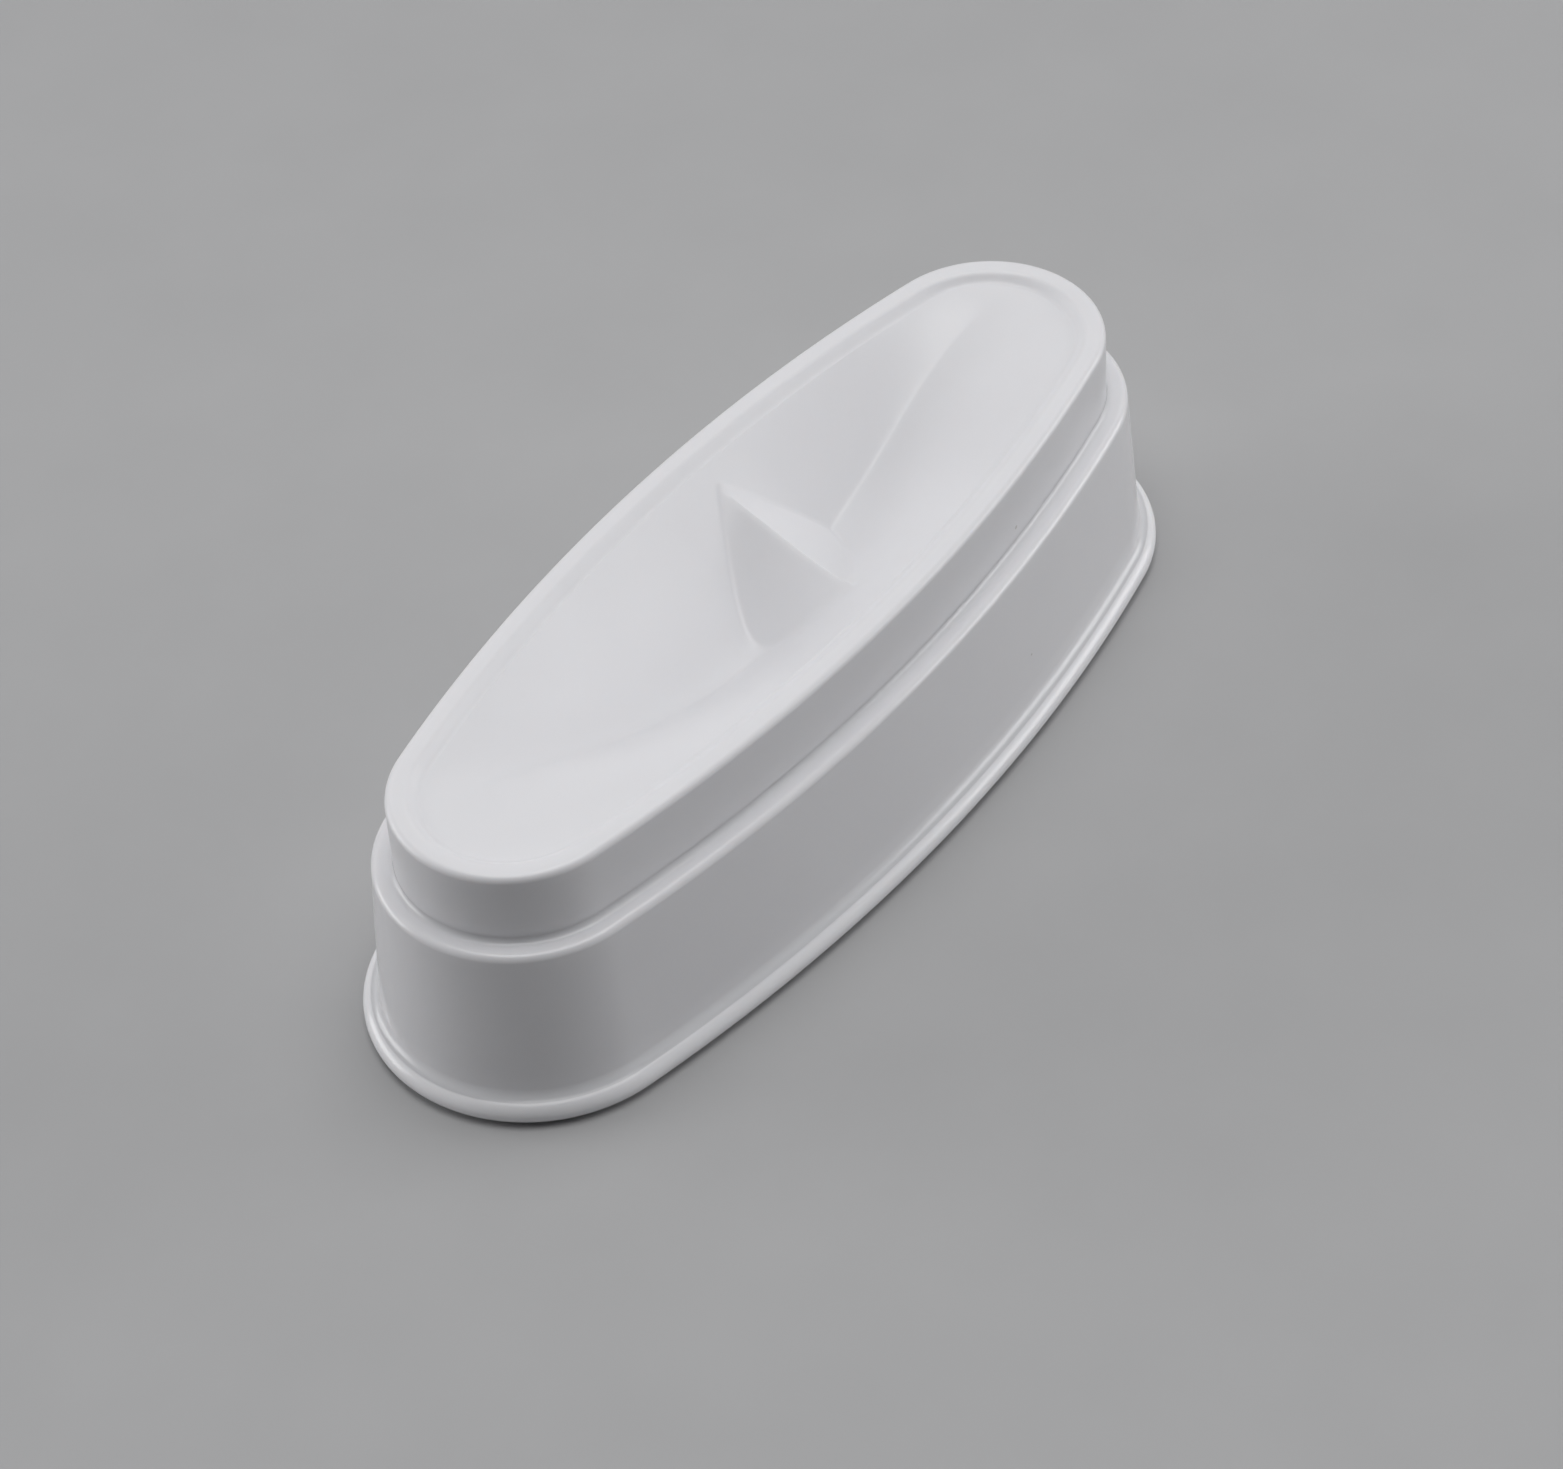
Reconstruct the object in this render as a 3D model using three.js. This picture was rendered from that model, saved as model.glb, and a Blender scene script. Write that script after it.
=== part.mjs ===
// A white moulded specimen dish of oval plan, in three nested pieces:
//   base_dish       flanged base, a shallow oval dish with an upright wall
//   cover_shell     stepped cover that slips over the base wall and rests on the flange
//   twin_well_dish  top dish with two V-shaped wells, dropped into the cover's seat
// Millimetres, +Z up. The origin is the middle of the underside, +X the long way.

import * as THREE from "three";

// ---- driving dimensions ------------------------------------------------------------
const HALF_LENGTH = 60; // flange, out to the bead
const HALF_WIDTH = 22.8;
const END_RADIUS = 18.3;

const BEAD_RADIUS = 1.4; // half-round edge of the flange
const LEDGE_HEIGHT = 22.1;
const RIM_HEIGHT = 31.1;

const FIT_GAP = 0.3; // between pieces that rest on each other
const SLIP_GAP = 0.4; // between the base wall and the cover

// insets are measured square to the flange's outer edge
const SKIRT_INSET = 1.85; // cover's wall, just above its flared foot
const LEDGE_INSET = 3.0; // outer edge of the ledge
const RIM_INSET = 5.35; // outer face of the top dish
const SEAT_INSET = 8.6; // edge of the cover's top opening

const SKIRT_WALL = 1.6;
const BASE_WALL = 1.5;
const DISH_WALL = 1.6;
const FLOOR = 1.6;
const SEAT_THICKNESS = 1.5;
const SEAT_DEPTH = 3.1; // ledge top to seat top

const FOOT_ROUND = 1.4; // hollow round from the cover's wall out to the bead
const LEDGE_ROUND = 0.7; // hollow round from the ledge up to the top dish
const LIP_WIDTH = 0.2; // top of that round

const BASE_WALL_TOP = 17;
const FOOT_RING_WIDTH = 4.8;
const FOOT_RECESS = 0.6;

const RIM_WIDTH = 1.9;
const STEP_WIDTH = 1.7; // soft step from the rim down to the wells
const STEP_DROP = 0.95;
const WELL_DEPTH = 11.35; // keel below the step
const WELL_RISE_POWER = 1.7; // how the keel rises towards both ends
const WALL_POWER = 1.15; // how hollow the walls of the wells are
const WELL_FLOOR = 1.8; // thickness, measured upright
const KEEL_LEFT = { shift: -1.3, sweep: 10 }; // from the middle line, and back towards the tip
const KEEL_RIGHT = { shift: 2.4, sweep: 5 };
const CHANGE_REACH = 7; // to each side of the ridge, where the one keel's course becomes the other's

const RIDGE_STEP = 3; // the ridge crosses the long axis this many side facets from the middle
const RIDGE_REACH = 30; // the mesh leans along with the ridge out to here
const RIDGE_TURN = THREE.MathUtils.degToRad(5.5);
const RIDGE_DROP = 6.1; // crest below the rim, on the long axis
const RIDGE_RISE = 0.19; // of the crest towards the back
const RIDGE_SAG = 0.008; // curvature of the crest, in 1/mm
const RIDGE_SLOPE = 0.65; // of the two flanks

const EDGE_ROUND = 0.7;
const END_STEPS = 9; // facets on a quarter of an end
const SIDE_STEPS = 18; // facets on half of a long side
const WELL_ROWS = 6; // rows of facets on each wall of a well

const WHITE = 0xe9eaec;

// ---- the oval --------------------------------------------------------------------
// Two end arcs and two long side arcs that meet tangentially. An inset moves every
// arc square to itself, so all outlines of the object are parallel.
const endCentre = HALF_LENGTH - END_RADIUS;
const sideRadius =
  (endCentre ** 2 + HALF_WIDTH ** 2 - END_RADIUS ** 2) / (2 * (HALF_WIDTH - END_RADIUS));
const sideAngle = Math.atan2(endCentre, sideRadius - HALF_WIDTH);

// Directions from the +X tip round to the middle of the +Y side, each with its arc.
function quarterDirections() {
  const turn = Math.PI / 2 - sideAngle;
  const directions = [];
  for (let i = 0; i < END_STEPS; i += 1) {
    directions.push({ angle: (turn * i) / END_STEPS, onEnd: true });
  }
  for (let i = 0; i <= SIDE_STEPS; i += 1) {
    directions.push({ angle: turn + (sideAngle * i) / SIDE_STEPS, onEnd: false });
  }
  return directions;
}

function quarterPoint({ angle, onEnd }, inset) {
  const radius = (onEnd ? END_RADIUS : sideRadius) - inset;
  const centre = onEnd ? [endCentre, 0] : [0, HALF_WIDTH - sideRadius];
  return [centre[0] + radius * Math.cos(angle), centre[1] + radius * Math.sin(angle)];
}

const QUARTER = quarterDirections();
const QUARTER_STEPS = QUARTER.length - 1;
const LOOP = 4 * QUARTER_STEPS;

// One point of an outline. Index 0 is the +X tip and the count runs anticlockwise.
function ovalPoint(index, inset) {
  const side = Math.floor(index / QUARTER_STEPS) % 4;
  const step = index % QUARTER_STEPS;
  const mirrored = side % 2 === 1;
  const [x, y] = quarterPoint(QUARTER[mirrored ? QUARTER_STEPS - step : step], inset);
  return [side === 1 || side === 2 ? -x : x, side >= 2 ? -y : y];
}

// ---- mesh building -----------------------------------------------------------------
class Surface {
  constructor() {
    this.positions = [];
    this.triangles = [];
  }

  point(x, y, z) {
    this.positions.push(x, y, z);
    return this.positions.length / 3 - 1;
  }

  quad(a, b, c, d) {
    this.triangles.push(a, b, c, a, c, d);
  }

  outline([inset, z]) {
    const ids = [];
    for (let i = 0; i < LOOP; i += 1) {
      ids.push(this.point(...ovalPoint(i, inset), z));
    }
    return ids;
  }

  // Joins two outlines. Seen from outside the solid, "to" lies above "from".
  band(from, to) {
    for (let i = 0; i < LOOP; i += 1) {
      const next = (i + 1) % LOOP;
      this.quad(from[i], from[next], to[next], to[i]);
    }
  }

  // Closes an outline with a sheet of columns that run across the oval.
  // rowsOf gives the inner points of a column, from the -Y side to the +Y side.
  sheet(outline, rowsOf, facesUp) {
    const columns = [];
    for (let j = 1; j < LOOP / 2; j += 1) {
      columns.push([outline[LOOP - j], ...rowsOf(j), outline[j]]);
    }
    const last = columns.length - 1;
    for (let j = 0; j < last; j += 1) {
      for (let k = 0; k + 1 < columns[j].length; k += 1) {
        const corners = [columns[j][k], columns[j][k + 1], columns[j + 1][k + 1], columns[j + 1][k]];
        this.quad(...(facesUp ? corners : corners.reverse()));
      }
    }
    this.fan(outline[0], columns[0], facesUp);
    this.fan(outline[LOOP / 2], columns[last], !facesUp);
  }

  fan(tip, column, forward) {
    for (let k = 0; k + 1 < column.length; k += 1) {
      const edge = forward ? [column[k + 1], column[k]] : [column[k], column[k + 1]];
      this.triangles.push(tip, ...edge);
    }
  }

  flatSheet(outline, facesUp) {
    this.sheet(outline, () => [], facesUp);
  }

  mesh(name, roughness) {
    const geometry = new THREE.BufferGeometry();
    geometry.setAttribute("position", new THREE.Float32BufferAttribute(this.positions, 3));
    geometry.setIndex(this.triangles);
    geometry.computeVertexNormals();
    const material = new THREE.MeshStandardMaterial({ color: WHITE, roughness, metalness: 0 });
    const mesh = new THREE.Mesh(geometry, material);
    mesh.name = name;
    return mesh;
  }
}

// Points of a round edge as [inset, z], about a centre, between two angles.
// Angle 0 points outwards from the oval and 90 degrees points up.
function roundEdge(inset, z, radius, fromDegrees, toDegrees, steps) {
  const points = [];
  for (let i = 0; i <= steps; i += 1) {
    const angle = THREE.MathUtils.degToRad(fromDegrees + ((toDegrees - fromDegrees) * i) / steps);
    points.push([inset - radius * Math.cos(angle), z + radius * Math.sin(angle)]);
  }
  return points;
}

// ---- base dish ---------------------------------------------------------------------
function skirtInset(z) {
  const foot = 2 * BEAD_RADIUS + FIT_GAP;
  return SKIRT_INSET + ((LEDGE_INSET - SKIRT_INSET) * (z - foot)) / (LEDGE_HEIGHT - foot);
}

function makeBaseDish() {
  const flangeTop = 2 * BEAD_RADIUS;
  const wallOutside = (z) => skirtInset(z) + SKIRT_WALL + SLIP_GAP;
  const floorTop = FOOT_RECESS + FLOOR;
  const ringInset = BEAD_RADIUS + FOOT_RING_WIDTH;
  const profile = [
    [ringInset + FOOT_RECESS, FOOT_RECESS],
    [ringInset, 0],
    ...roundEdge(BEAD_RADIUS, BEAD_RADIUS, BEAD_RADIUS, -90, 90, 6),
    [wallOutside(flangeTop), flangeTop],
    [wallOutside(BASE_WALL_TOP) - 0.05, BASE_WALL_TOP - 0.4],
    [wallOutside(BASE_WALL_TOP) + 0.35, BASE_WALL_TOP],
    [wallOutside(BASE_WALL_TOP) + BASE_WALL - 0.4, BASE_WALL_TOP],
    [wallOutside(BASE_WALL_TOP) + BASE_WALL, BASE_WALL_TOP - 0.4],
    [wallOutside(floorTop) + BASE_WALL + 0.2, floorTop + 1.2],
    [wallOutside(floorTop) + BASE_WALL + 1.4, floorTop],
  ];
  const surface = new Surface();
  const outlines = profile.map((pair) => surface.outline(pair));
  surface.flatSheet(outlines[0], false);
  outlines.slice(1).forEach((outline, i) => surface.band(outlines[i], outline));
  surface.flatSheet(outlines[outlines.length - 1], true);
  return surface.mesh("base_dish", 0.3);
}

// ---- cover shell -------------------------------------------------------------------
function makeCoverShell() {
  const foot = 2 * BEAD_RADIUS + FIT_GAP;
  const seatTop = LEDGE_HEIGHT - SEAT_DEPTH;
  const seatUnder = seatTop - SEAT_THICKNESS;
  const collarInset = RIM_INSET - FIT_GAP;
  // the foot's hollow round touches the bead and the wall tangentially
  const footCentre = SKIRT_INSET - FOOT_ROUND;
  const reach = BEAD_RADIUS + FOOT_ROUND;
  const aside = BEAD_RADIUS - footCentre;
  const wallFoot = BEAD_RADIUS + Math.sqrt(reach ** 2 - aside ** 2) + FIT_GAP;
  const touch = 270 - THREE.MathUtils.radToDeg(Math.asin(aside / reach));
  const lipInset = collarInset - LIP_WIDTH;
  const profile = [
    [BEAD_RADIUS, foot],
    ...roundEdge(footCentre, wallFoot, FOOT_ROUND, touch, 180, 3),
    ...roundEdge(LEDGE_INSET + EDGE_ROUND, LEDGE_HEIGHT - EDGE_ROUND, EDGE_ROUND, 0, 90, 3),
    ...roundEdge(lipInset - LEDGE_ROUND, LEDGE_HEIGHT + LEDGE_ROUND, LEDGE_ROUND, 270, 180, 3),
    [collarInset, LEDGE_HEIGHT + LEDGE_ROUND],
    [collarInset, seatTop],
    [SEAT_INSET, seatTop],
    [SEAT_INSET, seatUnder],
    [skirtInset(seatUnder) + SKIRT_WALL, seatUnder],
    [SKIRT_INSET + SKIRT_WALL, foot],
  ];
  const surface = new Surface();
  const outlines = profile.map((pair) => surface.outline(pair));
  outlines.forEach((outline, i) => surface.band(outline, outlines[(i + 1) % outlines.length]));
  return surface.mesh("cover_shell", 0.28);
}

// ---- twin-well dish ----------------------------------------------------------------
const wellInset = RIM_INSET + RIM_WIDTH + STEP_WIDTH;
const wellHalfLength = HALF_LENGTH - wellInset;
const stepHeight = RIM_HEIGHT - STEP_DROP;
const [ridgeX] = ovalPoint(QUARTER_STEPS - RIDGE_STEP, wellInset);

// Where the keel lies across the oval; it sweeps back towards the tips.
function keelY(x) {
  const right = THREE.MathUtils.smoothstep(x, ridgeX - CHANGE_REACH, ridgeX + CHANGE_REACH);
  const shift = THREE.MathUtils.lerp(KEEL_LEFT.shift, KEEL_RIGHT.shift, right);
  const sweep = THREE.MathUtils.lerp(KEEL_LEFT.sweep, KEEL_RIGHT.sweep, right);
  const along = Math.abs(x) / wellHalfLength;
  return (shift + sweep * along ** 2) * Math.max(0, 1 - along ** 6);
}

// Height of the wells' surface; across is 0 on the keel and 1 at the foot of the step.
function wellHeight(x, y, across) {
  const rest = Math.max(0, 1 - (x / wellHalfLength) ** 2);
  const wall = stepHeight - WELL_DEPTH * rest ** WELL_RISE_POWER * (1 - across ** WALL_POWER);
  const fromCrest = Math.abs((x - ridgeX) * Math.cos(RIDGE_TURN) - y * Math.sin(RIDGE_TURN));
  const alongCrest = (x - ridgeX) * Math.sin(RIDGE_TURN) + y * Math.cos(RIDGE_TURN);
  const crest = RIM_HEIGHT - RIDGE_DROP + RIDGE_RISE * alongCrest + RIDGE_SAG * alongCrest ** 2;
  const ridge = crest - RIDGE_SLOPE * fromCrest;
  return Math.min(stepHeight, Math.max(wall, ridge));
}

// The inner points of one column of the wells' surface, lowered by an amount.
// Columns near the ridge lean with it, so that its crest runs along one of them.
function wellColumn(surface, index, lowered) {
  const [columnX, halfWidth] = ovalPoint(index, wellInset);
  const keel = keelY(columnX);
  const lean = Math.tan(RIDGE_TURN) * Math.max(0, 1 - ((columnX - ridgeX) / RIDGE_REACH) ** 2);
  const ids = [];
  for (let k = 1 - WELL_ROWS; k < WELL_ROWS; k += 1) {
    const across = k / WELL_ROWS;
    const y = keel + Math.abs(across) * (Math.sign(across) * halfWidth - keel);
    const x = columnX + lean * y * (1 - across ** 8);
    ids.push(surface.point(x, y, wellHeight(x, y, Math.abs(across)) - lowered));
  }
  return ids;
}

// The soft step from the rim's inner edge down to the wells, as [inset, z].
function stepProfile(steps) {
  const points = [];
  for (let i = 0; i <= steps; i += 1) {
    const share = i / steps;
    const drop = (STEP_DROP * (1 - Math.cos(Math.PI * share))) / 2;
    points.push([RIM_INSET + RIM_WIDTH + STEP_WIDTH * share, RIM_HEIGHT - drop]);
  }
  return points;
}

function makeTwinWellDish() {
  const skirtFoot = LEDGE_HEIGHT - SEAT_DEPTH + FIT_GAP;
  const profile = [
    [wellInset, stepHeight - WELL_FLOOR],
    [RIM_INSET + DISH_WALL, stepHeight - WELL_FLOOR],
    [RIM_INSET + DISH_WALL, skirtFoot],
    [RIM_INSET, skirtFoot],
    ...roundEdge(RIM_INSET + EDGE_ROUND, RIM_HEIGHT - EDGE_ROUND, EDGE_ROUND, 0, 90, 3),
    ...stepProfile(4),
  ];
  const surface = new Surface();
  const outlines = profile.map((pair) => surface.outline(pair));
  outlines.slice(1).forEach((outline, i) => surface.band(outlines[i], outline));
  const under = (index) => wellColumn(surface, index, WELL_FLOOR);
  const upper = (index) => wellColumn(surface, index, 0);
  surface.sheet(outlines[0], under, false);
  surface.sheet(outlines[outlines.length - 1], upper, true);
  return surface.mesh("twin_well_dish", 0.25);
}

// ---- assembly ----------------------------------------------------------------------
const specimenDish = new THREE.Group();
specimenDish.add(makeBaseDish(), makeCoverShell(), makeTwinWellDish());

export default specimenDish;
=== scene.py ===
"""A white oval specimen dish in three nested mouldings: fine meshes, plastic, soft light."""

import math

import bmesh
import bpy
from mathutils import Matrix, Vector


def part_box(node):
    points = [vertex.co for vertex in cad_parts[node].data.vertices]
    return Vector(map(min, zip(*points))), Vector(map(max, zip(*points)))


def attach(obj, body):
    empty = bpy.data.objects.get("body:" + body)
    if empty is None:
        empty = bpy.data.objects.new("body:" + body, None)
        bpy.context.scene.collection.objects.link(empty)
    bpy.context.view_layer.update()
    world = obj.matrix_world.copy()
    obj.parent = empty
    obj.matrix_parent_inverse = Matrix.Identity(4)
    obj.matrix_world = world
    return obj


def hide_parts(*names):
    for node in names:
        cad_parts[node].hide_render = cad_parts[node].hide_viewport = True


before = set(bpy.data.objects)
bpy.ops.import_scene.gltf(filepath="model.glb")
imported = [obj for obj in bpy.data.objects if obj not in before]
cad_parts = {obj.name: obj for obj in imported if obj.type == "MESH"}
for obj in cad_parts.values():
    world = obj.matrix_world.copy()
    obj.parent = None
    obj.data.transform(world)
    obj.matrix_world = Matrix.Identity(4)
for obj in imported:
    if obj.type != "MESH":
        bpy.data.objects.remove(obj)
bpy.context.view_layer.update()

MM = 0.001

# ---- driving dimensions, in millimetres, read from the frame ------------------------
BASE_LOW, BASE_HIGH = (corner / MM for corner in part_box("base_dish"))
COVER_LOW, COVER_HIGH = (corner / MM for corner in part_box("cover_shell"))
DISH_LOW, DISH_HIGH = (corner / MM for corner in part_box("twin_well_dish"))

HALF_LENGTH = BASE_HIGH.x
HALF_WIDTH = BASE_HIGH.y
BASE_WALL_TOP = BASE_HIGH.z
LEDGE_ROUND = 0.7  # hollow round where the ledge meets the top dish
LEDGE_HEIGHT = COVER_HIGH.z - LEDGE_ROUND
RIM_HEIGHT = DISH_HIGH.z
RIM_INSET = HALF_LENGTH - DISH_HIGH.x

# ---- dimensions that the boxes don't show, in millimetres ---------------------------
END_RADIUS = 18.3
BEAD_RADIUS = 1.4
FLANGE_TOP = 2 * BEAD_RADIUS
SKIRT_INSET = 1.85
LEDGE_INSET = 3.0
SEAT_INSET = 8.6
SKIRT_WALL = 1.6
BASE_WALL = 1.5
DISH_WALL = 1.6
SLIP_GAP = 0.4
FOOT_RECESS = 0.6
FOOT_RING_WIDTH = 4.8
FLOOR_TOP = 2.2
SEAT_TOP = 19.0
SEAT_UNDER = 17.5
SEAM = 0.02  # what shows of the gap between pieces that rest on each other

RIM_WIDTH = 1.9
STEP_WIDTH = 1.7  # the small soft step between the rim and the wells
STEP_DROP = 0.95
WELL_DEPTH = 11.35  # keel below the step
WELL_RISE_POWER = 1.7  # how the keel rises towards both ends
WALL_POWER = 1.15  # how hollow the walls of the wells are
WELL_FLOOR = 1.8
KEEL_SHIFT = (-1.3, 2.4)  # of the left and the right keel, from the middle line
KEEL_SWEEP = (10.0, 5.0)  # how far both keels sweep back on the way to the tips
CHANGE_REACH = 7.0  # to each side of the ridge, where one keel's course becomes the other's
RIDGE_PLACE = 1 / 6  # of a side's half, from its middle; a column of the mesh runs there
RIDGE_TURN = math.radians(5.5)
RIDGE_DROP = 6.1  # crest below the rim, on the long axis
RIDGE_RISE = 0.19  # of the crest towards the back
RIDGE_SAG = 0.008  # curvature of the crest, in 1/mm
RIDGE_SLOPE = 0.65  # of the two flanks
RIDGE_REACH = 30.0  # the mesh leans along with the ridge out to here
FRONT_REACH = 6.0  # from the middle line to where the softer front blend is full

EDGE_ROUND = 0.8
FOOT_ROUND = 1.4  # hollow round where the skirt meets the flange
KEEL_CRISP = 0.004  # a keel's rounding on its crisp side, as a share of the well's half width
KEEL_SOFT = 0.2  # and on its soft side
KEEL_FADE = 0.3  # added on the way to the tips
CREST_ROUND = 0.1
RIDGE_BLEND = 0.06  # hollow round between the ridge and the walls
RIDGE_BLEND_FRONT = 1.2  # the same towards the front
RING_ROUND = 0.45  # inner round of the foot ring
FLOOR_ROUND = 2.0  # hollow round between the floor and the wall of the base dish
SEAT_BRACE = 1.0  # chamfer under the seat, where it meets the skirt
SMALL_CHAMFER = 0.4  # on edges that only show when the pieces are apart

# ---- mesh density -------------------------------------------------------------------
END_STEPS = 36
SIDE_STEPS = 150
WELL_ROWS = 50
FLAT_ROWS = 8
SHARP_ANGLE = math.radians(28)


# ---- the oval -----------------------------------------------------------------------
END_CENTRE = HALF_LENGTH - END_RADIUS
SIDE_RADIUS = (END_CENTRE**2 + HALF_WIDTH**2 - END_RADIUS**2) / (2 * (HALF_WIDTH - END_RADIUS))
SIDE_ANGLE = math.atan2(END_CENTRE, SIDE_RADIUS - HALF_WIDTH)
QUARTER_STEPS = END_STEPS + SIDE_STEPS
LOOP = 4 * QUARTER_STEPS


def quarter_point(step, inset):
    """A point of the first quarter, from the +X tip to the middle of the +Y side."""
    turn = math.pi / 2 - SIDE_ANGLE
    if step < END_STEPS:
        angle = turn * step / END_STEPS
        radius = END_RADIUS - inset
        return END_CENTRE + radius * math.cos(angle), radius * math.sin(angle)
    angle = turn + SIDE_ANGLE * (step - END_STEPS) / SIDE_STEPS
    radius = SIDE_RADIUS - inset
    return radius * math.cos(angle), HALF_WIDTH - SIDE_RADIUS + radius * math.sin(angle)


def oval_point(index, inset):
    """A point of an outline; index 0 is the +X tip and the count runs anticlockwise."""
    side, step = divmod(index % LOOP, QUARTER_STEPS)
    mirrored = side % 2 == 1
    x, y = quarter_point(QUARTER_STEPS - step if mirrored else step, inset)
    return (-x if side in (1, 2) else x), (-y if side >= 2 else y)


def arc(inset, z, radius, start, end, steps):
    """(inset, z) points of a round; angle 0 points out of the oval and 90 up."""
    points = []
    for i in range(steps + 1):
        angle = math.radians(start + (end - start) * i / steps)
        points.append((inset - radius * math.cos(angle), z + radius * math.sin(angle)))
    return points


def line(start, end, steps):
    """(inset, z) points from start up to but without end."""
    return [
        (start[0] + (end[0] - start[0]) * i / steps, start[1] + (end[1] - start[1]) * i / steps)
        for i in range(steps)
    ]


# ---- mesh building ------------------------------------------------------------------
class Surface:
    """A mesh made of outlines joined by bands and closed by sheets."""

    def __init__(self):
        self.points = []
        self.faces = []

    def point(self, x, y, z):
        self.points.append((x * MM, y * MM, z * MM))
        return len(self.points) - 1

    def outline(self, inset, z):
        return [self.point(*oval_point(i, inset), z) for i in range(LOOP)]

    def band(self, low, high):
        for i in range(LOOP):
            j = (i + 1) % LOOP
            self.faces.append((low[i], low[j], high[j], high[i]))

    def skin(self, profile, closed=False):
        """Bands through a whole profile; returns its first and last outline."""
        outlines = [self.outline(inset, z) for inset, z in profile]
        for low, high in zip(outlines, outlines[1:]):
            self.band(low, high)
        if closed:
            self.band(outlines[-1], outlines[0])
        return outlines[0], outlines[-1]

    def sheet(self, outline, column_of, faces_up):
        """Closes an outline with columns that run across the oval."""
        columns = [
            [outline[LOOP - j], *column_of(j), outline[j]] for j in range(1, LOOP // 2)
        ]
        for left, right in zip(columns, columns[1:]):
            for k in range(len(left) - 1):
                corners = (left[k], left[k + 1], right[k + 1], right[k])
                self.faces.append(corners if faces_up else corners[::-1])
        for tip, column, forward in (
            (outline[0], columns[0], faces_up),
            (outline[LOOP // 2], columns[-1], not faces_up),
        ):
            for low, high in zip(column, column[1:]):
                self.faces.append((tip, high, low) if forward else (tip, low, high))

    def plain_sheet(self, outline, inset, height_of, faces_up):
        """A sheet whose height is a function of x and y."""

        def column_of(index):
            x, half_width = oval_point(index, inset)
            rows = [half_width * k / FLAT_ROWS for k in range(1 - FLAT_ROWS, FLAT_ROWS)]
            return [self.point(x, y, height_of(x, y)) for y in rows]

        self.sheet(outline, column_of, faces_up)

    def build(self, name, body, material):
        mesh = bpy.data.meshes.new(name)
        mesh.from_pydata(self.points, [], self.faces)
        mesh.update()
        work = bmesh.new()
        work.from_mesh(mesh)
        bmesh.ops.recalc_face_normals(work, faces=work.faces)
        for face in work.faces:
            face.smooth = True
        work.to_mesh(mesh)
        work.free()
        mesh.set_sharp_from_angle(angle=SHARP_ANGLE)
        mesh.materials.append(material)
        piece = bpy.data.objects.new(name, mesh)
        bpy.context.scene.collection.objects.link(piece)
        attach(piece, body)
        return piece


# ---- materials ----------------------------------------------------------------------
def node(tree, kind, **values):
    made = tree.nodes.new(kind)
    for name, value in values.items():
        setattr(made, name, value)
    return made


def noise(tree, vector, scale, detail, roughness):
    made = node(tree, "ShaderNodeTexNoise")
    made.inputs["Scale"].default_value = scale
    made.inputs["Detail"].default_value = detail
    made.inputs["Roughness"].default_value = roughness
    tree.links.new(vector, made.inputs["Vector"])
    return made


def spread(tree, source, low, high):
    """Maps a noise's middle range onto low..high."""
    made = node(tree, "ShaderNodeMapRange")
    made.inputs["From Min"].default_value = 0.3
    made.inputs["From Max"].default_value = 0.7
    made.inputs["To Min"].default_value = low
    made.inputs["To Max"].default_value = high
    tree.links.new(source, made.inputs["Value"])
    return made.outputs["Result"]


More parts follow.
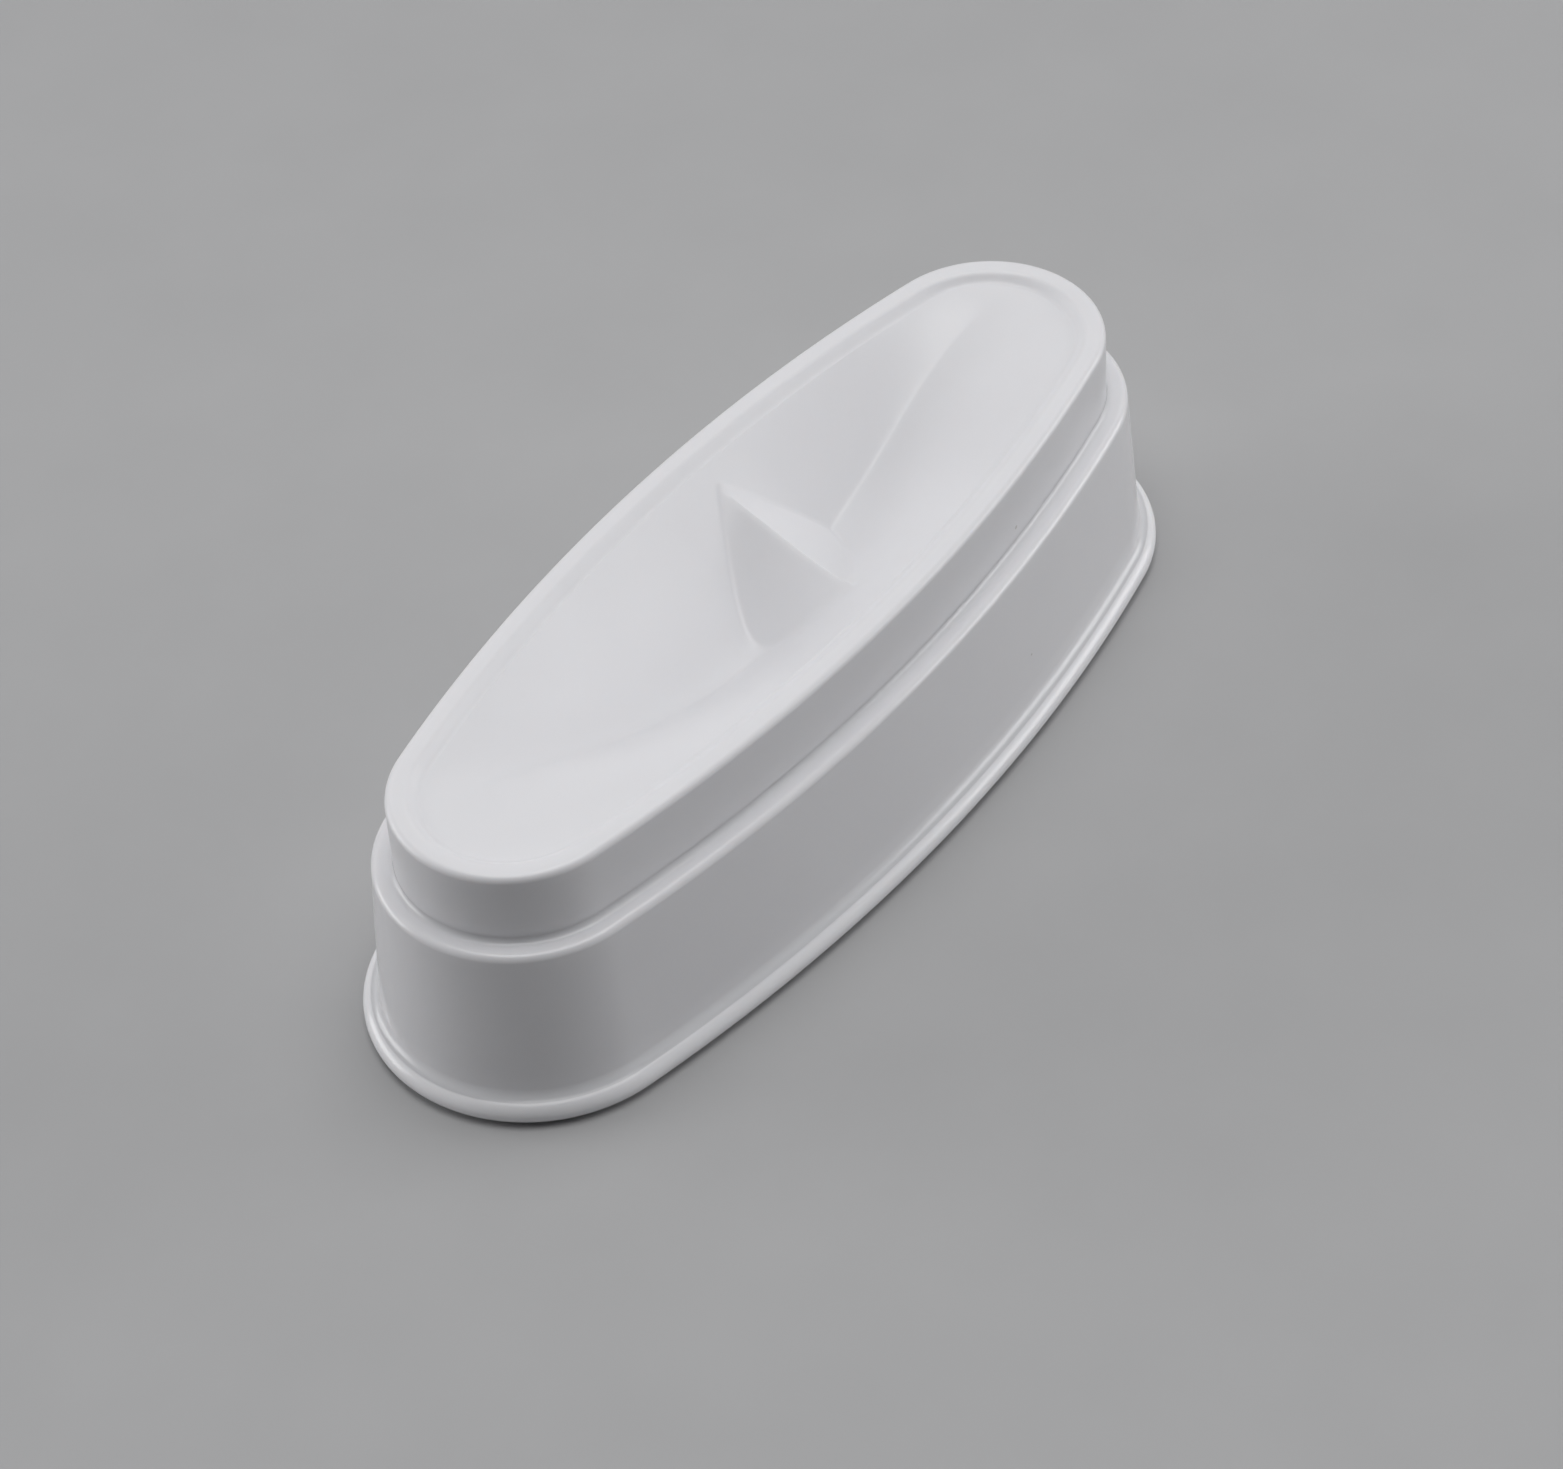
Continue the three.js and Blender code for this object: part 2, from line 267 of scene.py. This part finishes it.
def moulded_plastic(name, light, shade, gloss):
    """White moulded plastic: faint flow clouding, mould waviness, a few specks."""
    material = bpy.data.materials.new(name)
    material.use_nodes = True
    tree = material.node_tree
    tree.nodes.clear()
    output = node(tree, "ShaderNodeOutputMaterial")
    shader = node(tree, "ShaderNodeBsdfPrincipled")
    tree.links.new(shader.outputs["BSDF"], output.inputs["Surface"])
    place = node(tree, "ShaderNodeTexCoord").outputs["Object"]

    clouds = noise(tree, place, 45.0, 3.0, 0.55)
    tint = node(tree, "ShaderNodeMix", data_type="RGBA")
    tint.inputs["A"].default_value = (*shade, 1)
    tint.inputs["B"].default_value = (*light, 1)
    tree.links.new(spread(tree, clouds.outputs["Fac"], 0.0, 1.0), tint.inputs["Factor"])

    specks = node(tree, "ShaderNodeTexVoronoi")
    specks.inputs["Scale"].default_value = 90.0
    tree.links.new(place, specks.inputs["Vector"])
    near = node(tree, "ShaderNodeMath", operation="LESS_THAN")
    near.inputs[1].default_value = 0.022
    tree.links.new(specks.outputs["Distance"], near.inputs[0])
    speckled = node(tree, "ShaderNodeMix", data_type="RGBA")
    speckled.inputs["B"].default_value = (0.56, 0.55, 0.54, 1)
    tree.links.new(tint.outputs["Result"], speckled.inputs["A"])
    tree.links.new(near.outputs["Value"], speckled.inputs["Factor"])
    tree.links.new(speckled.outputs["Result"], shader.inputs["Base Color"])

    handling = noise(tree, place, 160.0, 4.0, 0.6)
    low, high = gloss
    tree.links.new(spread(tree, handling.outputs["Fac"], low, high), shader.inputs["Roughness"])

    waviness = noise(tree, place, 110.0, 2.0, 0.5)
    grain = noise(tree, place, 1500.0, 2.0, 0.5)
    height = node(tree, "ShaderNodeMix", data_type="FLOAT")
    height.inputs["Factor"].default_value = 0.12
    tree.links.new(waviness.outputs["Fac"], height.inputs["A"])
    tree.links.new(grain.outputs["Fac"], height.inputs["B"])
    bump = node(tree, "ShaderNodeBump")
    bump.inputs["Strength"].default_value = 0.12
    bump.inputs["Distance"].default_value = 0.00012
    tree.links.new(height.outputs["Result"], bump.inputs["Height"])
    tree.links.new(bump.outputs["Normal"], shader.inputs["Normal"])

    shader.inputs["IOR"].default_value = 1.49
    shader.inputs["Subsurface Weight"].default_value = 0.25
    shader.inputs["Subsurface Radius"].default_value = (1.0, 0.9, 0.85)
    shader.inputs["Subsurface Scale"].default_value = 0.0012
    return material


def floor_material():
    material = bpy.data.materials.new("pale_floor")
    material.use_nodes = True
    tree = material.node_tree
    shader = tree.nodes["Principled BSDF"]
    place = node(tree, "ShaderNodeTexCoord").outputs["Object"]
    grain = noise(tree, place, 60.0, 4.0, 0.5)
    tint = node(tree, "ShaderNodeMix", data_type="RGBA")
    tint.inputs["A"].default_value = FLOOR_DARK
    tint.inputs["B"].default_value = FLOOR_LIGHT
    tree.links.new(grain.outputs["Fac"], tint.inputs["Factor"])
    tree.links.new(tint.outputs["Result"], shader.inputs["Base Color"])
    shader.inputs["Roughness"].default_value = 0.8
    shader.inputs["Specular IOR Level"].default_value = 0.2
    return material


# ---- the three mouldings ------------------------------------------------------------
def skirt_inset(z):
    share = (z - FLANGE_TOP) / (LEDGE_HEIGHT - FLANGE_TOP)
    return SKIRT_INSET + (LEDGE_INSET - SKIRT_INSET) * share


def wall_outside(z):
    """Inset of the base dish's wall, which the cover's skirt slips over."""
    return skirt_inset(z) + SKIRT_WALL + SLIP_GAP


def wall_inside(z):
    return wall_outside(z) + BASE_WALL


def base_dish(material):
    top_round = BASE_WALL / 2
    shoulder = BASE_WALL_TOP - top_round
    ring_inset = BEAD_RADIUS + FOOT_RING_WIDTH
    flange_start = (BEAD_RADIUS + 0.3, FLANGE_TOP)
    wall_foot = (wall_outside(FLANGE_TOP), FLANGE_TOP)
    floor_edge = (wall_inside(FLOOR_TOP), FLOOR_TOP + FLOOR_ROUND)
    profile = [
        (ring_inset + 2 * RING_ROUND, FOOT_RECESS),
        *arc(ring_inset + RING_ROUND, RING_ROUND, RING_ROUND, 180, 270, 6),
        *line((ring_inset, 0.0), (BEAD_RADIUS, 0.0), 4)[1:],
        *arc(BEAD_RADIUS, BEAD_RADIUS, BEAD_RADIUS, -90, 90, 20),
        *line(flange_start, wall_foot, 4),
        *line(wall_foot, (wall_outside(BASE_WALL_TOP), shoulder), 10),
        *arc(wall_outside(BASE_WALL_TOP) + top_round, shoulder, top_round, 0, 180, 10),
        *line((wall_inside(BASE_WALL_TOP), shoulder - 0.4), floor_edge, 10),
        *arc(floor_edge[0] + FLOOR_ROUND, floor_edge[1], FLOOR_ROUND, 0, -90, 8),
    ]
    surface = Surface()
    first, last = surface.skin(profile)
    surface.plain_sheet(first, profile[0][0], lambda x, y: FOOT_RECESS, False)
    surface.plain_sheet(last, profile[-1][0], lambda x, y: FLOOR_TOP, True)
    piece = surface.build("base_dish_moulding", "base", material)
    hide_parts("base_dish")
    return piece


def cover_shell(material):
    foot = FLANGE_TOP + SEAM
    collar = RIM_INSET - SEAM
    edge_z = LEDGE_HEIGHT - EDGE_ROUND
    ledge_end = collar - LEDGE_ROUND
    skirt_inside = skirt_inset(SEAT_UNDER) + SKIRT_WALL
    # the foot's hollow round touches the bead and the wall tangentially
    reach = BEAD_RADIUS + FOOT_ROUND
    aside = BEAD_RADIUS - (SKIRT_INSET - FOOT_ROUND)
    wall_foot = BEAD_RADIUS + math.sqrt(reach**2 - aside**2) + SEAM
    touch = 270 - math.degrees(math.asin(aside / reach))
    profile = [
        (SKIRT_INSET + SKIRT_WALL, foot),
        (BEAD_RADIUS, foot),
        *arc(SKIRT_INSET - FOOT_ROUND, wall_foot, FOOT_ROUND, touch, 180, 8),
        *line((skirt_inset(wall_foot + 0.5), wall_foot + 0.5), (LEDGE_INSET, edge_z), 14),
        *arc(LEDGE_INSET + EDGE_ROUND, edge_z, EDGE_ROUND, 0, 90, 10),
        *line((LEDGE_INSET + EDGE_ROUND + 0.1, LEDGE_HEIGHT), (ledge_end, LEDGE_HEIGHT), 3),
        *arc(ledge_end, LEDGE_HEIGHT + LEDGE_ROUND, LEDGE_ROUND, 270, 180, 8),
        (collar, SEAT_TOP),
        (SEAT_INSET - SMALL_CHAMFER, SEAT_TOP),
        (SEAT_INSET, SEAT_TOP - SMALL_CHAMFER),
        (SEAT_INSET, SEAT_UNDER + SMALL_CHAMFER),
        (SEAT_INSET - SMALL_CHAMFER, SEAT_UNDER),
        (skirt_inside + SEAT_BRACE, SEAT_UNDER),
        (skirt_inside, SEAT_UNDER - SEAT_BRACE),
        (SKIRT_INSET + SKIRT_WALL, foot + 0.5),
    ]
    surface = Surface()
    surface.skin(profile, closed=True)
    piece = surface.build("cover_shell_moulding", "cover", material)
    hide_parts("cover_shell")
    return piece


WELL_INSET = RIM_INSET + RIM_WIDTH + STEP_WIDTH
WELL_HALF_LENGTH = HALF_LENGTH - WELL_INSET
STEP_HEIGHT = RIM_HEIGHT - STEP_DROP
RIDGE_X = oval_point(QUARTER_STEPS - round(SIDE_STEPS * RIDGE_PLACE), WELL_INSET)[0]


def between(pair, share):
    return pair[0] + (pair[1] - pair[0]) * share


def right_share(x):
    """0 in the left well and 1 in the right one, changing smoothly under the ridge."""
    share = min(1.0, max(0.0, (x - RIDGE_X) / (2 * CHANGE_REACH) + 0.5))
    return share * share * (3 - 2 * share)


def keel_y(x):
    right = right_share(x)
    along = abs(x) / WELL_HALF_LENGTH
    course = between(KEEL_SHIFT, right) + between(KEEL_SWEEP, right) * along**2
    return course * max(0.0, 1 - along**6)


def well_height(x, y, across):
    """Height of the wells' surface; across is 0 on the keel and 1 at the foot of the step."""
    along = min(1.0, abs(x) / WELL_HALF_LENGTH)
    sides = (KEEL_CRISP, KEEL_SOFT) if y < keel_y(x) else (KEEL_SOFT, KEEL_CRISP)
    softness = between(sides, right_share(x)) + KEEL_FADE * along**6
    softened = (math.hypot(across, softness) - softness) / (math.hypot(1, softness) - softness)
    depth = WELL_DEPTH * (1 - along**2) ** WELL_RISE_POWER
    wall = -depth * (1 - softened**WALL_POWER)
    off_crest = (x - RIDGE_X) * math.cos(RIDGE_TURN) - y * math.sin(RIDGE_TURN)
    on_crest = (x - RIDGE_X) * math.sin(RIDGE_TURN) + y * math.cos(RIDGE_TURN)
    flank = math.hypot(off_crest, CREST_ROUND) - CREST_ROUND
    crest = STEP_DROP - RIDGE_DROP + RIDGE_RISE * on_crest + RIDGE_SAG * on_crest**2
    ridge = crest - RIDGE_SLOPE * flank
    towards_front = min(1.0, max(0.0, -y / FRONT_REACH))
    blend = RIDGE_BLEND + (RIDGE_BLEND_FRONT - RIDGE_BLEND) * towards_front
    blended = (wall + ridge + math.hypot(wall - ridge, blend)) / 2
    return STEP_HEIGHT + min(0.0, wall + (blended - wall) * (1 - across**4))


def well_column(surface, index, lowered):
    """One column of the wells' surface; near the ridge it leans with the crest."""
    column_x, half_width = oval_point(index, WELL_INSET)
    keel = keel_y(column_x)
    lean = math.tan(RIDGE_TURN) * max(0.0, 1 - ((column_x - RIDGE_X) / RIDGE_REACH) ** 2)
    ids = []
    for k in range(1 - WELL_ROWS, WELL_ROWS):
        across = k / WELL_ROWS
        y = keel + abs(across) * (math.copysign(half_width, across) - keel)
        x = column_x + lean * y * (1 - across**8)
        ids.append(surface.point(x, y, well_height(x, y, abs(across)) - lowered))
    return ids


def step_profile(steps):
    """(inset, z) points of the soft step from the rim down to the wells."""
    points = []
    for i in range(steps + 1):
        share = i / steps
        drop = STEP_DROP * (1 - math.cos(math.pi * share)) / 2
        points.append((RIM_INSET + RIM_WIDTH + STEP_WIDTH * share, RIM_HEIGHT - drop))
    return points


def twin_well_dish(material):
    foot = SEAT_TOP + SEAM
    top = RIM_HEIGHT - EDGE_ROUND
    inner = RIM_INSET + DISH_WALL
    under_step = STEP_HEIGHT - WELL_FLOOR
    profile = [
        (WELL_INSET, under_step),
        (inner + SMALL_CHAMFER, under_step),
        (inner, under_step - SMALL_CHAMFER),
        (inner, foot + SMALL_CHAMFER),
        (inner - SMALL_CHAMFER, foot),
        (RIM_INSET + SMALL_CHAMFER, foot),
        (RIM_INSET, foot + SMALL_CHAMFER),
        *line((RIM_INSET, foot + 2 * SMALL_CHAMFER), (RIM_INSET, top), 10),
        *arc(RIM_INSET + EDGE_ROUND, top, EDGE_ROUND, 0, 90, 10),
        (RIM_INSET + RIM_WIDTH - 0.5, RIM_HEIGHT),
        *step_profile(12),
    ]
    surface = Surface()
    first, last = surface.skin(profile)
    surface.sheet(first, lambda index: well_column(surface, index, WELL_FLOOR), False)
    surface.sheet(last, lambda index: well_column(surface, index, 0.0), True)
    piece = surface.build("twin_well_moulding", "top_dish", material)
    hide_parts("twin_well_dish")
    return piece


# ---- stage, in metres and degrees ---------------------------------------------------
CAMERA_AZIMUTH = -50.43
CAMERA_ELEVATION = 44.54
CAMERA_ROLL = math.radians(-4.38)
CAMERA_DISTANCE = 9.444 * HALF_LENGTH * MM
CAMERA_OFFSET = (0.0102 * HALF_LENGTH * MM, 0.0472 * HALF_LENGTH * MM)
SENSOR = 36.0
LENS = 119.7

TENT_COLOUR = (0.97, 0.98, 1.0, 1)
TENT_BRIGHT = 0.22
TENT_DARK = 0.03
TENT_HEIGHT = (0.0, 0.35)  # rise of a direction: dark at the first, bright from the second
TENT_OPENING_ELEVATION = 10
TENT_OPENING = (0.85, 0.1)  # closeness to the opening: dark at the first, bright from the second

FLOOR_DARK = (0.41, 0.41, 0.415, 1)
FLOOR_LIGHT = (0.44, 0.44, 0.445, 1)
FLOOR_DROP = 0.0002  # the floor lies this far below the foot ring
FLOOR_HALF = 4.0
LIGHT_AIM = (0, 0, 0.015)


def make_floor():
    mesh = bpy.data.meshes.new("floor")
    turns = ((-1, -1), (1, -1), (1, 1), (-1, 1))
    corners = [(FLOOR_HALF * x, FLOOR_HALF * y, 0) for x, y in turns]
    mesh.from_pydata(corners, [], [(0, 1, 2, 3)])
    mesh.materials.append(floor_material())
    floor = bpy.data.objects.new("floor", mesh)
    floor.location.z = -FLOOR_DROP
    bpy.context.scene.collection.objects.link(floor)


def softbox(name, place, size, power):
    lamp = bpy.data.lights.new(name, "AREA")
    lamp.shape = "RECTANGLE"
    lamp.size, lamp.size_y = size
    lamp.energy = power
    holder = bpy.data.objects.new(name, lamp)
    holder.location = place
    holder.rotation_euler = (Vector(LIGHT_AIM) - place).to_track_quat("-Z", "Y").to_euler()
    bpy.context.scene.collection.objects.link(holder)


def around(azimuth, elevation, distance):
    """A place seen from the middle: azimuth 0 is towards -Y and 90 towards +X."""
    a, e = math.radians(azimuth), math.radians(elevation)
    return Vector((math.sin(a) * math.cos(e), -math.cos(a) * math.cos(e), math.sin(e))) * distance


def make_world():
    """A soft white tent, bright overhead and to the sides, dark on one side and low down."""
    world = bpy.data.worlds.new("studio")
    world.use_nodes = True
    tree = world.node_tree
    background = tree.nodes["Background"]
    background.inputs["Color"].default_value = TENT_COLOUR
    direction = node(tree, "ShaderNodeTexCoord").outputs["Generated"]

    def share(towards, start, full):
        """0 where the direction's part along towards is start, 1 where it is full."""
        along = node(tree, "ShaderNodeVectorMath", operation="DOT_PRODUCT")
        along.inputs[1].default_value = towards
        tree.links.new(direction, along.inputs[0])
        ramp = node(tree, "ShaderNodeMapRange", interpolation_type="SMOOTHSTEP")
        ramp.inputs["From Min"].default_value = start
        ramp.inputs["From Max"].default_value = full
        tree.links.new(along.outputs["Value"], ramp.inputs["Value"])
        return ramp.outputs["Result"]

    above = share((0, 0, 1), *TENT_HEIGHT)
    opening = share(tuple(around(CAMERA_AZIMUTH, TENT_OPENING_ELEVATION, 1.0)), *TENT_OPENING)
    both = node(tree, "ShaderNodeMath", operation="MULTIPLY")
    tree.links.new(above, both.inputs[0])
    tree.links.new(opening, both.inputs[1])
    strength = node(tree, "ShaderNodeMapRange")
    strength.inputs["To Min"].default_value = TENT_DARK
    strength.inputs["To Max"].default_value = TENT_BRIGHT
    tree.links.new(both.outputs["Value"], strength.inputs["Value"])
    tree.links.new(strength.outputs["Result"], background.inputs["Strength"])
    bpy.context.scene.world = world


def make_lights():
    back, left, right = CAMERA_AZIMUTH + 180, CAMERA_AZIMUTH - 102, CAMERA_AZIMUTH + 102
    softbox("top_softbox", around(60, 87, 0.9), (0.7, 0.7), 4.85)
    softbox("back_softbox", around(back, 45, 1.0), (1.2, 0.1), 0.5)
    softbox("left_softbox", around(left, 16, 0.8), (0.5, 0.4), 2.25)
    softbox("right_softbox", around(right, 16, 0.8), (0.5, 0.4), 2.1)


def make_camera():
    back = around(CAMERA_AZIMUTH, CAMERA_ELEVATION, 1.0)
    azimuth = math.radians(CAMERA_AZIMUTH)
    level = Vector((math.cos(azimuth), math.sin(azimuth), 0))
    upright = back.cross(level)
    right = level * math.cos(CAMERA_ROLL) + upright * math.sin(CAMERA_ROLL)
    up = back.cross(right)
    place = back * CAMERA_DISTANCE + right * CAMERA_OFFSET[0] + up * CAMERA_OFFSET[1]
    data = bpy.data.cameras.new("camera")
    data.sensor_width = SENSOR
    data.lens = LENS
    data.clip_start = 0.01
    camera = bpy.data.objects.new("camera", data)
    turn = Matrix((right, up, back)).transposed().to_4x4()
    camera.matrix_world = Matrix.Translation(place) @ turn
    bpy.context.scene.collection.objects.link(camera)
    bpy.context.scene.camera = camera


# ---- the scene ----------------------------------------------------------------------
BRIGHT = (0.80, 0.797, 0.818)
CLOUDED = (0.78, 0.777, 0.80)
# painted light: the base dish is the same white plastic as the other two pieces, made lighter so
# that its flange bead gets the brightness the lamps don't give it
BASE_BRIGHT_PAINTED_LIGHTER = (0.88, 0.877, 0.898)
BASE_CLOUDED_PAINTED_LIGHTER = (0.86, 0.857, 0.88)

GLOSSY = (0.14, 0.22)
SATIN = (0.30, 0.38)

base_dish(moulded_plastic("base_white_plastic_painted_lighter", BASE_BRIGHT_PAINTED_LIGHTER, BASE_CLOUDED_PAINTED_LIGHTER, GLOSSY))
cover_shell(moulded_plastic("cover_white_plastic", BRIGHT, CLOUDED, GLOSSY))
twin_well_dish(moulded_plastic("dish_white_plastic", BRIGHT, CLOUDED, SATIN))
make_floor()
make_world()
make_lights()
make_camera()
bpy.context.scene.view_settings.view_transform = "Standard"
